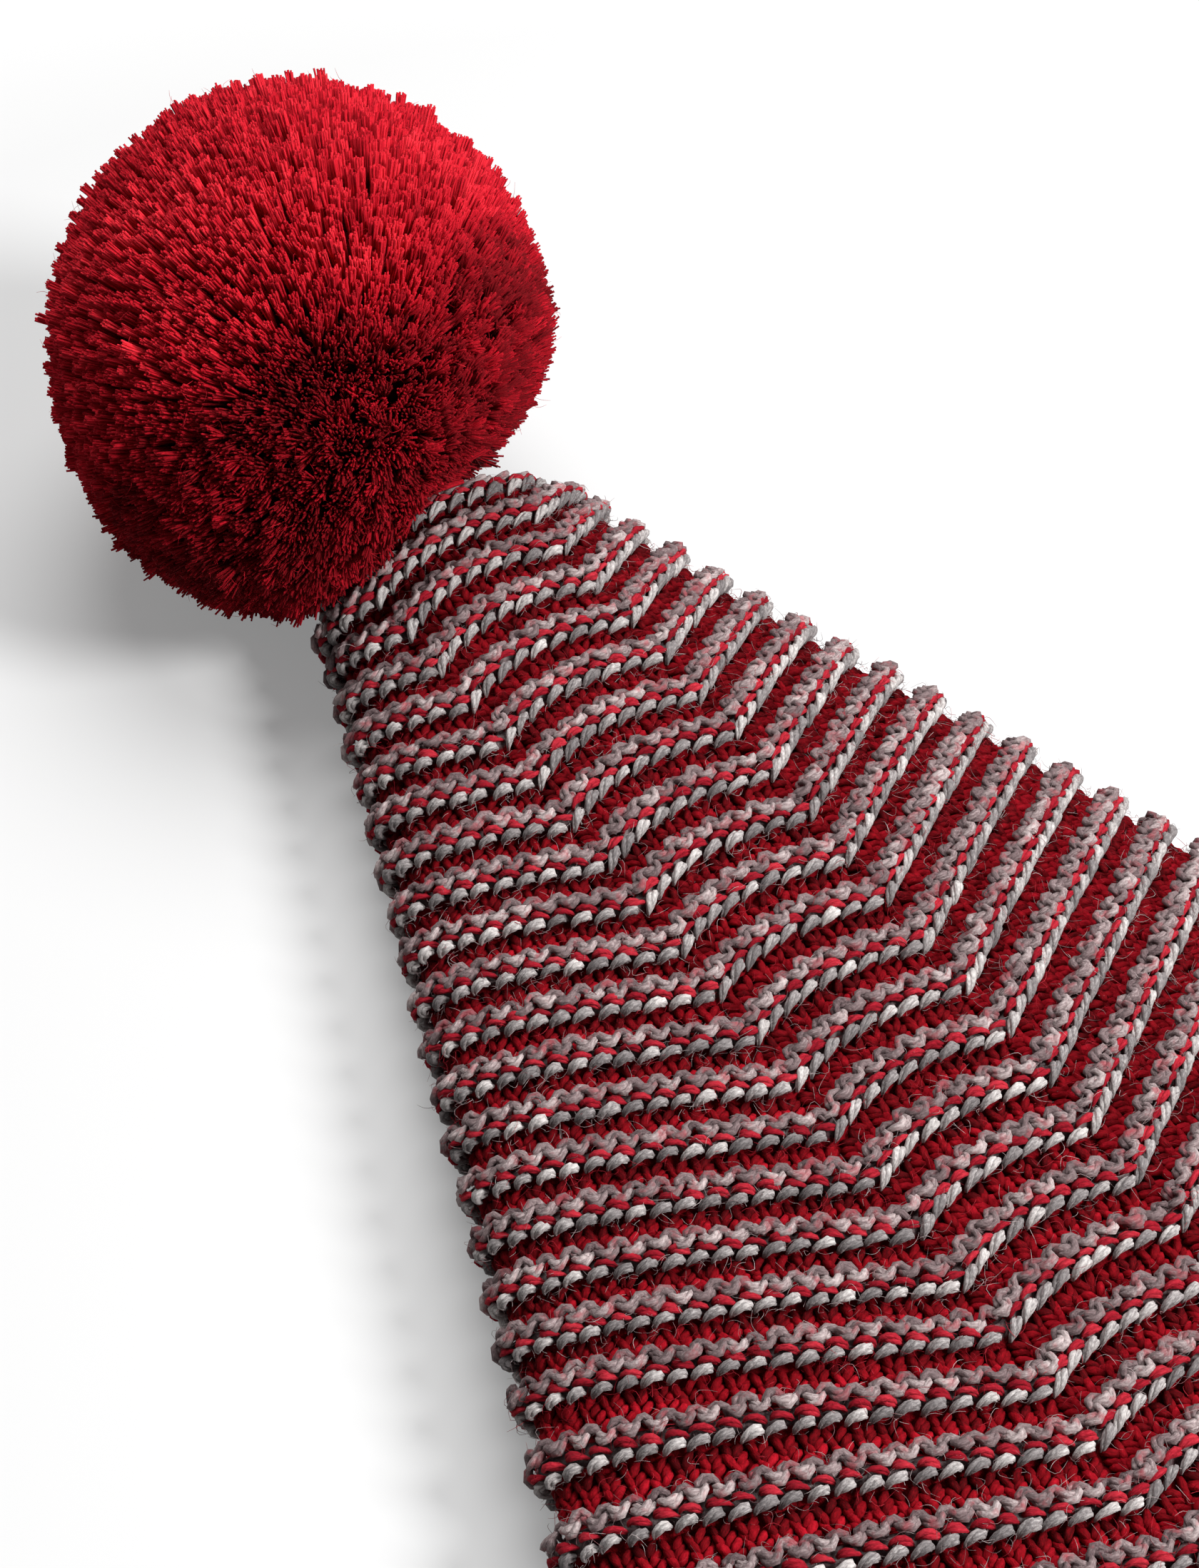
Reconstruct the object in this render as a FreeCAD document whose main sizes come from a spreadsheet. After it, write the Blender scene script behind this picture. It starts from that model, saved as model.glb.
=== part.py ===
"""Knitted cone cap with a cut-yarn pom pom on its tip, lying flat on a table.

Frame: +Z up, +Y from the brim towards the pom pom, +X across the cap. The origin is under the middle of the
whole object, at the height it lies on. Millimetres.

The cap is one knitted tube, flattened: every cross-section is a low ellipse, cut flat where it lies. It is
built in three stretches, so that it can fold across at two places. Grey and red welts ring it at an even
pitch, and each welt is a piece of its own. The pom pom is a ball of cut yarn in two halves, tied at its waist.
The tails of its tie run down into the cap's tip, where they are knotted on the inside.
"""

import os

import FreeCAD
import Part
import Sketcher

App = FreeCAD
Vector = App.Vector
doc = App.newDocument("pom_pom_cap")

# ---------------------------------------------------------------- driving dimensions

DIMENSIONS = {
    "apex_y": 160,             # where the two side edges of the cap would meet
    "width_slope": 0.348,      # half of the cap's width for each mm from the apex
    "nose_y": 84,              # where the straight taper ends and the gathered, rounded end begins
    "nose_length": 18,
    "nose_half_height": 13,
    "height_slope": 0.02,      # how much thicker the flattened tube gets towards the brim
    "sink": 1.2,               # how much of each ellipse is pressed flat on the table
    "wall": 4.5,               # knitted fabric, without its welts
    "block_width": 400,        # a cutting block is wider and taller than the whole cap
    "block_height": 80,
    "brim_y": -165,
    "brim_edge_length": 4.5,
    "fold_low_y": -45.5,
    "fold_high_y": 40,
    "body_gap": 0.3,           # clearance between stretches that fold against each other
    "welt_pitch": 9.5,
    "welt_width": 5.2,
    "welt_rise": 2.4,          # how far a welt stands off the fabric
    "yarn_hole_radius": 2.6,   # hole in the gathered end for the two tails
    "tail_radius": 0.9,
    "tail_spread": 1.1,
    "seam_width": 5,
    "seam_height": 1.5,
    "seam_floor": 3.4,         # top of the fabric inside the cap, under the seam
    "gather_radius": 3.4,
    "gather_yarn_radius": 0.7,
    "gather_y": 103,
    "inner_knot_y": 93.4,
    "inner_knot_radius": 3.2,
    "inner_knot_across": 0.8,  # the inner knot's other half-sizes, as shares of its radius
    "inner_knot_along": 1.2,
    "knot_gap": 0.1,           # between a knot and the tails that start at it
    "tail_end_y": 103.6,
    "pom_radius": 45,
    "pom_x": -9,
    "pom_y": 120,
    "pom_turn": 30.3,          # turn of the pom pom about the vertical, so that its tie faces the cap's tip
    "tie_radius": 8,           # waist of the bundle, inside its tie
    "tie_yarn_radius": 1.1,
    "tie_groove_radius": 1.6,
    "tie_knot_radius": 2.5,
    "tie_knot_distance": 11.9,
    "knot_pocket_gap": 0.5,    # room for the knot in the pile
    "tail_tilt": 61.7,         # the tails' slope below the horizontal
    "tail_reach": 33.5,        # from the pom pom's middle to where its tails enter the cap's tip
    "tail_channel_radius": 3.2,
    "notch_bottom": -1,
    "notch_top": 30,           # the pile parts around the cap's tip below this height
    "notch_end_y": 112,
    "notch_start_y": 55,
    "notch_end_half_width": 22,
    "notch_start_half_width": 95,
    "half_space_reach": 1.2,   # reach of the block that cuts one half of the pile, as a share of its radius
}

LOWER_WELTS = 12
MIDDLE_WELTS = 9
TIP_WELTS = 6

sheet = doc.addObject("Spreadsheet::Sheet", "Sheet")
for row, (alias, number) in enumerate(DIMENSIONS.items(), start=1):
    sheet.set(f"A{row}", alias)
    sheet.set(f"B{row}", str(number))
    sheet.setAlias(f"B{row}", alias)
doc.recompute()

pieces = []


def half_height(station):
    """Expression for half of the tube's thickness at a station along the cap."""
    return f"Sheet.nose_half_height + Sheet.height_slope * (Sheet.nose_y - ({station}))"


def bind(thing, **expressions):
    """Bind a thing's properties to the sheet."""
    for name, expression in expressions.items():
        thing.setExpression(name, expression)
    return thing


def place(thing, x="0", y="0", z="0"):
    """Bind a thing's position to the sheet."""
    thing.setExpression("Placement.Base.x", x)
    thing.setExpression("Placement.Base.y", y)
    thing.setExpression("Placement.Base.z", z)
    return thing


def finished(thing, label):
    """Name a sub-part and keep it for export."""
    thing.Label = label
    pieces.append(thing)
    return thing


def boolean(kind, name, base, tool):
    """One cut or common of two shapes."""
    result = doc.addObject(f"Part::{kind}", name)
    result.Base = base
    result.Tool = tool
    return result


def union(name, shapes):
    """Several shapes as one."""
    result = doc.addObject("Part::MultiFuse", name)
    result.Shapes = shapes
    return result


def box(name, length, width, height):
    """A box whose three sizes are expressions."""
    return bind(doc.addObject("Part::Box", name), Length=length, Width=width, Height=height)


# ---------------------------------------------------------------- the cap's outline

def section(name, station, grow):
    """The flattened tube's ellipse at one station, grown outwards by `grow`."""
    ellipse = doc.addObject("Part::Ellipse", name)
    ellipse.Placement = App.Placement(Vector(0, 0, 0), App.Rotation(Vector(1, 0, 0), 90))
    bind(
        ellipse,
        MajorRadius=f"Sheet.width_slope * (Sheet.apex_y - ({station})) + ({grow})",
        MinorRadius=f"{half_height(station)} + ({grow})",
    )
    return place(ellipse, y=station, z=f"{half_height(station)} - Sheet.sink")


def cone(name, grow):
    """The whole cap as a solid: a straight taper of ellipses, and a rounded end."""
    taper = doc.addObject("Part::Loft", f"{name}_taper")
    taper.Sections = [
        section(f"{name}_brim_section", "Sheet.brim_y", grow),
        section(f"{name}_nose_section", "Sheet.nose_y", grow),
    ]
    taper.Solid = True
    taper.Ruled = True
    nose = doc.addObject("Part::Ellipsoid", f"{name}_nose")
    nose.Angle3 = 180
    bind(
        nose,
        Radius1=f"Sheet.nose_half_height + ({grow})",
        Radius2=f"Sheet.width_slope * (Sheet.apex_y - Sheet.nose_y) + ({grow})",
        Radius3=f"Sheet.nose_length + ({grow})",
    )
    place(nose, y="Sheet.nose_y", z="Sheet.nose_half_height - Sheet.sink")
    return union(name, [taper, nose])


def slab(name, start, end):
    """Everything between two stations along the cap."""
    block = box(name, "Sheet.block_width", f"({end}) - ({start})", "Sheet.block_height")
    return place(block, x="-Sheet.block_width / 2", y=start)


outside = cone("cap_outside", "0")
inside = cone("cap_inside", "-Sheet.wall")
over_welts = cone("cap_over_welts", "Sheet.welt_rise")

yarn_hole = doc.addObject("Part::Cylinder", "yarn_hole")
yarn_hole.Placement = App.Placement(Vector(0, 0, 0), App.Rotation(Vector(1, 0, 0), -90))
bind(yarn_hole, Radius="Sheet.yarn_hole_radius", Height="2 * Sheet.nose_length")
place(yarn_hole, y="Sheet.inner_knot_y", z="Sheet.nose_half_height - Sheet.sink")

hollow = union("cap_hollow", [inside, yarn_hole])
fabric = boolean("Cut", "cap_fabric", outside, hollow)
welt_skin = boolean("Cut", "cap_welt_skin", over_welts, union("cap_core", [outside, yarn_hole]))
brim_skin = boolean("Cut", "cap_brim_skin", over_welts, inside)


# ---------------------------------------------------------------- knitted stretches, brim edge and welts

STRETCHES = {
    "lower": ("Sheet.brim_y + Sheet.brim_edge_length", "Sheet.fold_low_y - Sheet.body_gap / 2"),
    "middle": ("Sheet.fold_low_y + Sheet.body_gap / 2", "Sheet.fold_high_y - Sheet.body_gap / 2"),
    "tip": ("Sheet.fold_high_y + Sheet.body_gap / 2", "Sheet.nose_y + 2 * Sheet.nose_length"),
}

for stretch, (start, end) in STRETCHES.items():
    piece = boolean("Common", f"shell_{stretch}", fabric, slab(f"slab_{stretch}", start, end))
    finished(piece, f"knit_shell_{stretch}")

brim_slab = slab("slab_brim", "Sheet.brim_y", "Sheet.brim_y + Sheet.brim_edge_length")
finished(boolean("Common", "brim_edge", brim_skin, brim_slab), "brim_cast_on_edge")


def welt(number, centre):
    """One raised ring of grey and red rows around the cap, open where the cap lies flat."""
    start = f"{centre} - Sheet.welt_width / 2"
    end = f"{centre} + Sheet.welt_width / 2"
    block = slab(f"slab_welt_{number:02d}", start, end)
    ring = boolean("Common", f"welt_ring_{number:02d}", welt_skin, block)
    return finished(ring, f"welt_{number:02d}")


number = 0
for first_fold, steps in (
    ("Sheet.fold_low_y", range(-LOWER_WELTS, 0)),
    ("Sheet.fold_low_y", range(0, MIDDLE_WELTS)),
    ("Sheet.fold_high_y", range(0, TIP_WELTS)),
):
    for step in steps:
        number += 1
        welt(number, f"{first_fold} + ({step} + 0.5) * Sheet.welt_pitch")


# ---------------------------------------------------------------- seam inside the cap

def origin_plane(body, role):
    """One of a body's own origin planes."""
    return next(plane for plane in body.Origin.OriginFeatures if plane.Role == role)


def seam(stretch, start, end):
    """The raised seam allowance that runs along the inside of the lower layer."""
    body = doc.addObject("PartDesign::Body", f"seam_{stretch}")
    profile = body.newObject("Sketcher::SketchObject", f"seam_profile_{stretch}")
    profile.AttachmentSupport = (origin_plane(body, "XZ_Plane"), [""])
    profile.MapMode = "FlatFace"
    half = DIMENSIONS["seam_width"] / 2
    low = DIMENSIONS["seam_floor"]
    high = low + DIMENSIONS["seam_height"]
    corners = [(-half, low), (half, low), (half, high), (-half, high)]
    for here, there in zip(corners, corners[1:] + corners[:1]):
        profile.addGeometry(Part.LineSegment(Vector(*here, 0), Vector(*there, 0)))
    for side in range(4):
        profile.addConstraint(Sketcher.Constraint("Coincident", side, 2, (side + 1) % 4, 1))
    for side, kind in enumerate(("Vertical", "Horizontal", "Vertical"), start=1):
        profile.addConstraint(Sketcher.Constraint(kind, side))
    profile.addConstraint(Sketcher.Constraint("Symmetric", 0, 1, 0, 2, -2))
    wide = profile.addConstraint(Sketcher.Constraint("DistanceX", 0, 1, 0, 2, 2 * half))
    tall = profile.addConstraint(Sketcher.Constraint("DistanceY", 1, 1, 1, 2, high - low))
    base = profile.addConstraint(Sketcher.Constraint("DistanceY", -1, 1, 0, 1, low))
    profile.setExpression(f"Constraints[{wide}]", "Sheet.seam_width")
    profile.setExpression(f"Constraints[{tall}]", "Sheet.seam_height")
    profile.setExpression(f"Constraints[{base}]", "Sheet.seam_floor")
    pad = body.newObject("PartDesign::Pad", f"seam_pad_{stretch}")
    pad.Profile = profile
    pad.Reversed = True
    pad.setExpression("Length", f"({end}) - ({start})")
    body.Tip = pad
    place(body, y=start)
    return finished(body, f"back_seam_{stretch}")


seam("lower", *STRETCHES["lower"])
seam("middle", *STRETCHES["middle"])
seam("tip", STRETCHES["tip"][0], "Sheet.nose_y - Sheet.wall")


# ---------------------------------------------------------------- gathered end and its knot

NOSE_HEIGHT = "Sheet.nose_half_height - Sheet.sink"

gather = doc.addObject("Part::Torus", "gather")
gather.Placement = App.Placement(Vector(0, 0, 0), App.Rotation(Vector(1, 0, 0), 90))
bind(gather, Radius1="Sheet.gather_radius", Radius2="Sheet.gather_yarn_radius")
finished(place(gather, y="Sheet.gather_y", z=NOSE_HEIGHT), "crown_gather_yarn")

inner_knot = doc.addObject("Part::Ellipsoid", "inner_knot")
bind(
    inner_knot,
    Radius1="Sheet.inner_knot_across * Sheet.inner_knot_radius",
    Radius2="Sheet.inner_knot_along * Sheet.inner_knot_radius",
    Radius3="Sheet.inner_knot_radius",
)
finished(place(inner_knot, y="Sheet.inner_knot_y", z=NOSE_HEIGHT), "inner_anchor_knot")


def inner_tail(side, name):
    """One tail of the tie, from the inner knot out through the gathered end."""
    tail = doc.addObject("Part::Cylinder", name)
    tail.Placement = App.Placement(Vector(0, 0, 0), App.Rotation(Vector(1, 0, 0), -90))
    start = "Sheet.inner_knot_y + Sheet.inner_knot_radius + Sheet.knot_gap"
    bind(tail, Radius="Sheet.tail_radius", Height=f"Sheet.tail_end_y - ({start})")
    return place(tail, x=f"{side} * Sheet.tail_spread", y=start, z=NOSE_HEIGHT)


inner_tails = doc.addObject("Part::Compound", "inner_tails")
inner_tails.Links = [inner_tail(-1, "inner_tail_left"), inner_tail(1, "inner_tail_right")]
finished(inner_tails, "inner_tie_tails")


# ---------------------------------------------------------------- pom pom

POM_CENTRE = {"x": "Sheet.pom_x", "y": "Sheet.pom_y", "z": "Sheet.pom_radius"}
TURN = App.Rotation(Vector(0, 0, 1), DIMENSIONS["pom_turn"])


def about_pom(thing, tilt=0.0, distance=None, side=0.0):
    """Put a thing in the pom pom's own frame: its tails leave along -Y, `tilt` degrees below the level."""
    down_tails = TURN.multiply(App.Rotation(Vector(1, 0, 0), tilt))
    thing.Placement = App.Placement(Vector(0, 0, 0), down_tails)
    reach = down_tails.multVec(Vector(0, -1, 0))
    across = down_tails.multVec(Vector(1, 0, 0))
    far = distance or "0"
    for axis in ("x", "y", "z"):
        along = getattr(reach, axis)
        aside = getattr(across, axis) * side
        expression = f"{POM_CENTRE[axis]} + {along:.6f} * ({far}) + {aside:.6f} * Sheet.tail_spread"
        thing.setExpression(f"Placement.Base.{axis}", expression)
    return thing


def along_tails(name, radius, start, end, side=0.0):
    """A round stretch that follows the tie's tails, from one distance to another."""
    rod = bind(doc.addObject("Part::Cylinder", name), Radius=radius, Height=f"({end}) - ({start})")
    about_pom(rod, DIMENSIONS["tail_tilt"], start, side)
    rod.Placement = App.Placement(
        rod.Placement.Base, rod.Placement.Rotation.multiply(App.Rotation(Vector(1, 0, 0), 90))
    )
    return rod


def tie_ring(name, radius):
    """The ring that the tie makes around the bundle's waist."""
    ring = doc.addObject("Part::Torus", name)
    bind(ring, Radius1="Sheet.tie_radius", Radius2=radius)
    about_pom(ring)
    ring.Placement = App.Placement(
        ring.Placement.Base, ring.Placement.Rotation.multiply(App.Rotation(Vector(0, 1, 0), 90))
    )
    return ring


def knot_ball(name, grow):
    """The tie's knot, where its two tails start, or the pocket that it sits in."""
    ball = doc.addObject("Part::Sphere", name)
    bind(ball, Radius=f"Sheet.tie_knot_radius + {grow}")
    return about_pom(ball, DIMENSIONS["tail_tilt"], "Sheet.tie_knot_distance")


ball = bind(doc.addObject("Part::Sphere", "pom_ball"), Radius="Sheet.pom_radius")
about_pom(ball)

notch = doc.addObject("Part::Wedge", "pom_notch")
bind(
    notch,
    Xmin="-Sheet.notch_start_half_width",
    Xmax="Sheet.notch_start_half_width",
    X2min="-Sheet.notch_end_half_width",
    X2max="Sheet.notch_end_half_width",
    Ymin="Sheet.notch_start_y",
    Ymax="Sheet.notch_end_y",
    Zmin="Sheet.notch_bottom",
    Z2min="Sheet.notch_bottom",
    Zmax="Sheet.notch_top",
    Z2max="Sheet.notch_top",
)

channel = along_tails(
    "tail_channel", "Sheet.tail_channel_radius", "Sheet.tie_radius", "Sheet.pom_radius"
)
groove = tie_ring("tie_groove", "Sheet.tie_groove_radius")
pocket = knot_ball("tie_knot_pocket", "Sheet.knot_pocket_gap")
pile = boolean("Cut", "pom_pile", ball, union("pom_hollows", [notch, channel, groove, pocket]))

HALF_SPACE = "Sheet.half_space_reach * Sheet.pom_radius"
for shift_across, label in ((-1, "pom_pile_near_half"), (0, "pom_pile_far_half")):
    half_space = box(f"half_space_{label}", HALF_SPACE, f"2 * {HALF_SPACE}", f"2 * {HALF_SPACE}")
    half_space.Placement = App.Placement(Vector(0, 0, 0), TURN)
    shift = TURN.multVec(Vector(shift_across, -1, 0))
    place(
        half_space,
        x=f"Sheet.pom_x + {shift.x:.6f} * {HALF_SPACE}",
        y=f"Sheet.pom_y + {shift.y:.6f} * {HALF_SPACE}",
        z=f"Sheet.pom_radius - {HALF_SPACE}",
    )
    finished(boolean("Common", f"half_{label}", pile, half_space), label)

finished(tie_ring("tie", "Sheet.tie_yarn_radius"), "pom_center_tie")
finished(knot_ball("tie_knot", "0"), "pom_tie_knot")

TAIL_START = "Sheet.tie_knot_distance + Sheet.tie_knot_radius + Sheet.knot_gap"
pom_tails = doc.addObject("Part::Compound", "pom_tails")
pom_tails.Links = [
    along_tails(f"pom_tail_{name}", "Sheet.tail_radius", TAIL_START, "Sheet.tail_reach", side)
    for name, side in (("left", -1), ("right", 1))
]
finished(pom_tails, "pom_tie_tails")


# ---------------------------------------------------------------- check and write

doc.recompute()

for thing in doc.Objects:
    if "Invalid" in thing.State or "Error" in thing.State:
        raise RuntimeError(f"{thing.Name} did not compute: {thing.State}")

os.makedirs("parts", exist_ok=True)
for piece in pieces:
    if piece.Shape.isNull() or not piece.Shape.isValid():
        raise RuntimeError(f"{piece.Label} has no valid shape")
    piece.Shape.exportStep(f"parts/{piece.Label}.step")
    bounds = piece.Shape.BoundBox
    print(
        f"{piece.Label:22s} solids {len(piece.Shape.Solids)} volume {piece.Shape.Volume:10.1f}"
        f"  x {bounds.XMin:7.1f} {bounds.XMax:7.1f}  y {bounds.YMin:7.1f} {bounds.YMax:7.1f}"
        f"  z {bounds.ZMin:6.2f} {bounds.ZMax:6.2f}"
    )
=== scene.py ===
"""Knitted cone cap with a cut-yarn pom pom, lying on a white table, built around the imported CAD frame.

Lengths are millimetres until a mesh is made. A place on the cap is a course, a number that grows by one for
each ridge from the tip to the brim, and a length around the flattened tube from the seam underneath.
"""

import math
from dataclasses import dataclass

import bpy
import numpy as np
from mathutils import Matrix, Vector


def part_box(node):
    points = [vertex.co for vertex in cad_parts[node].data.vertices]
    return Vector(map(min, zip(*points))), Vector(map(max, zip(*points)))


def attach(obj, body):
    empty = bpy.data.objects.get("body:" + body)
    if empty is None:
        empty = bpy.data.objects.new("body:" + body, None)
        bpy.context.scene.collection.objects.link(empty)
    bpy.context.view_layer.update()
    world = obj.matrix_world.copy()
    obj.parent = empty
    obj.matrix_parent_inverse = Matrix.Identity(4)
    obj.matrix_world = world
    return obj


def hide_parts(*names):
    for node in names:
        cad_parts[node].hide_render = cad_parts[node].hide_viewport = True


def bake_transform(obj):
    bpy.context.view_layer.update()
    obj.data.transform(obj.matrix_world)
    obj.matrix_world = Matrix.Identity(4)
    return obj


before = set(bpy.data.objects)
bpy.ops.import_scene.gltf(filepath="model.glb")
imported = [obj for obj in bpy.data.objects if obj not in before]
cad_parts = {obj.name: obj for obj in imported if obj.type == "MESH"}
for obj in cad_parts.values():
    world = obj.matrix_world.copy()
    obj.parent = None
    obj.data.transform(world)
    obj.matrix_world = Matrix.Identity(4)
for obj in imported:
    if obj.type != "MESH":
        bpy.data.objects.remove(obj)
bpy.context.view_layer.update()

MM = 0.001
LOWEST = 0.03              # nothing goes below the table
RNG = np.random.default_rng(7)


def node_box(node):
    """A CAD node's corners in millimetres."""
    low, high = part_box(node)
    return np.array(low) / MM, np.array(high) / MM


def unit(v):
    return v / (np.linalg.norm(v, axis=-1, keepdims=True) + 1e-9)


# ---------------- the cap's outline, read from the CAD shells

PRESSED_FLAT = 1.2         # how much of each CAD ellipse is cut off where the cap lies
NOSE_LENGTH = 18.0         # the cap's rounded end
NOSE_CLOSED = 0.985        # share of that length where the rounding stops
UNDERSIDE = 3.3            # height of the fabric's middle surface where the cap lies on its ridges

lower_low, lower_high = node_box("knit_shell_lower")
middle_low, middle_high = node_box("knit_shell_middle")
tip_low, tip_high = node_box("knit_shell_tip")
WIDTH_SLOPE = (lower_high[0] - middle_high[0]) / (middle_low[1] - lower_low[1])
APEX_Y = lower_low[1] + lower_high[0] / WIDTH_SLOPE
HEIGHT_SLOPE = (lower_high[2] - middle_high[2]) / (middle_low[1] - lower_low[1]) / 2
NOSE_Y = tip_high[1] - NOSE_LENGTH
NOSE_END_Y = NOSE_Y + NOSE_LENGTH
BRIM_Y = node_box("brim_cast_on_edge")[0][1]


def nose_share(y):
    beyond = np.clip((y - NOSE_Y) / NOSE_LENGTH, 0, NOSE_CLOSED)
    return np.sqrt(1 - beyond**2)


def half_width(y):
    straight = WIDTH_SLOPE * (APEX_Y - np.minimum(y, NOSE_Y))
    return straight * nose_share(y)


def cone_half_height(y):
    """Half the section's height, before the rounding of the end."""
    return (lower_high[2] + PRESSED_FLAT) / 2 - HEIGHT_SLOPE * (np.minimum(y, NOSE_Y) - lower_low[1])


def half_height(y):
    return cone_half_height(y) * nose_share(y)


def middle_height(y):
    return cone_half_height(y) - PRESSED_FLAT


# Lengths along an ellipse of half width 1, by its half height and by the angle from its top.
ARC_RATIOS = np.linspace(0.05, 1.3, 60)
ARC_TURNS = np.linspace(0, math.pi, 721)
RATIO_STEP = ARC_RATIOS[1] - ARC_RATIOS[0]
TURN_STEP = ARC_TURNS[1] - ARC_TURNS[0]
arc_speed = np.sqrt(np.cos(ARC_TURNS) ** 2 + (ARC_RATIOS[:, None] * np.sin(ARC_TURNS)) ** 2)
arc_steps = np.cumsum((arc_speed[:, 1:] + arc_speed[:, :-1]) / 2, axis=1)
ARC_TABLE = np.concatenate([np.zeros((len(ARC_RATIOS), 1)), arc_steps], axis=1) * TURN_STEP


def arc(turn, y):
    """Signed length along the section from its top middle to an angle."""
    a = half_width(y)
    i = np.clip((half_height(y) / a - ARC_RATIOS[0]) / RATIO_STEP, 0, len(ARC_RATIOS) - 1.001)
    j = np.clip(np.abs(turn) / TURN_STEP, 0, len(ARC_TURNS) - 1.001)
    i0, j0 = i.astype(int), j.astype(int)
    u, v = i - i0, j - j0
    value = (
        ARC_TABLE[i0, j0] * (1 - u) * (1 - v)
        + ARC_TABLE[i0 + 1, j0] * u * (1 - v)
        + ARC_TABLE[i0, j0 + 1] * (1 - u) * v
        + ARC_TABLE[i0 + 1, j0 + 1] * u * v
    )
    return np.sign(turn) * a * value


# ---------------- rows of the knitting

LEFT_LINE_X = -19.5        # line of decreases on the left
RIGHT_LINE_X = 11.0
LINE_REACH = 0.9           # near the tip both lines keep to this share of the half width
ROW_ZERO_Y = 63.4
ROW_PITCH = 10.28
FIRST_ROW = -3
LAST_ROW = 21
BRIM_COURSE = 22.0
LEFT_SLOPE = 0.56          # how fast a row rises towards the tip, away from the lines of decreases
RIGHT_SLOPE = 0.66
BAND_ARCH = 3.6            # how far a row bows between the lines
BAND_SKEW = 0.87           # the bow is highest a little to the left of the band's middle
BAND_RISE = 1.0            # a row's right end of the bow is higher by this
SLOPE_FULL_Y = -95.0       # below this the rows straighten towards the brim
BRIM_SLOPE_SHARE = 0.3
TIP_SLOPE_Y = NOSE_Y + 14  # towards this the rows straighten at the tip, over TIP_SLOPE_FADE
TIP_SLOPE_FADE = 26.0
TIP_SLOPE_SHARE = 0.12
BACK_PULL = 2.0            # on the underside the rows run nearly straight, moved up by this
BACK_PULL_POWER = 1.3
END_MARGIN = 0.6           # rows stay this far from the very end
ROW_PASSES = 14            # a row's shape depends on the section where it lies, so it is found in passes
ROW_SMOOTHING = 9          # samples that a row's corners are rounded over
NORMAL_SMOOTHING = 13
SETTLING = 0.9             # how softly the section flattens where it meets the table
WANDER = 0.35              # slow unevenness of the upper face
SAMPLES = 1440

TURNS = np.linspace(-math.pi, math.pi, SAMPLES + 1)
ON_TOP = np.abs(TURNS) <= math.pi / 2


def smooth(values, width):
    """Moving average around a closed ring."""
    core = values[:-1]
    window = np.ones(width) / width
    wrapped = np.concatenate([core[-width:], core, core[:width]])
    out = np.convolve(wrapped, window, mode="same")[width:-width]
    return np.append(out, out[0])


def line_place(x, y):
    """Where a line of decreases crosses the section, as a length from the top middle."""
    return arc(np.arcsin(np.clip(x / half_width(y), -LINE_REACH, LINE_REACH)), y)


def row_rise(y):
    """How far a row on the upper face rises: bowed between the lines of decreases, sloped outside them."""
    along = arc(TURNS, y)
    left, right = line_place(LEFT_LINE_X, y), line_place(RIGHT_LINE_X, y)
    share = np.clip((along - left) / (right - left), 0, 1)
    bow = share**BAND_SKEW
    rise = BAND_ARCH * 4 * bow * (1 - bow) + BAND_RISE * share
    rise = rise + LEFT_SLOPE * np.clip(left - along, 0, None)
    return rise + RIGHT_SLOPE * np.clip(along - right, 0, None)


def ring(course):
    """Points of one course around the whole tube, on the fabric's middle surface."""
    row_y = ROW_ZERO_Y - ROW_PITCH * course
    fade = np.clip((row_y - BRIM_Y) / (SLOPE_FULL_Y - BRIM_Y), 0, 1)
    slope_share = BRIM_SLOPE_SHARE + (1 - BRIM_SLOPE_SHARE) * fade
    slope_share *= np.clip((TIP_SLOPE_Y - row_y) / TIP_SLOPE_FADE, TIP_SLOPE_SHARE, 1)
    across = (np.sin(TURNS) + 1) / 2
    pull = 1 - np.abs(np.sin(TURNS)) ** BACK_PULL_POWER
    quarter = SAMPLES // 4
    y = np.full(SAMPLES + 1, row_y)
    for _ in range(ROW_PASSES):
        top = row_y + slope_share * row_rise(y)
        under = top[quarter] * (1 - across) + top[3 * quarter] * across
        under = under + (row_y + BACK_PULL - under) * pull
        y = np.minimum(np.where(ON_TOP, top, under), NOSE_END_Y - END_MARGIN)
    y = smooth(y, ROW_SMOOTHING)
    x = half_width(y) * np.sin(TURNS)
    z = middle_height(y) + half_height(y) * np.cos(TURNS)
    z = UNDERSIDE + SETTLING * np.logaddexp(0, (z - UNDERSIDE) / SETTLING)
    wander = WANDER * np.sin(x / 17 + y / 23) * np.sin(y / 31 - x / 41 + 1)
    return np.stack([x, y, z + wander * (np.cos(TURNS) > -0.2)], axis=1)


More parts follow.
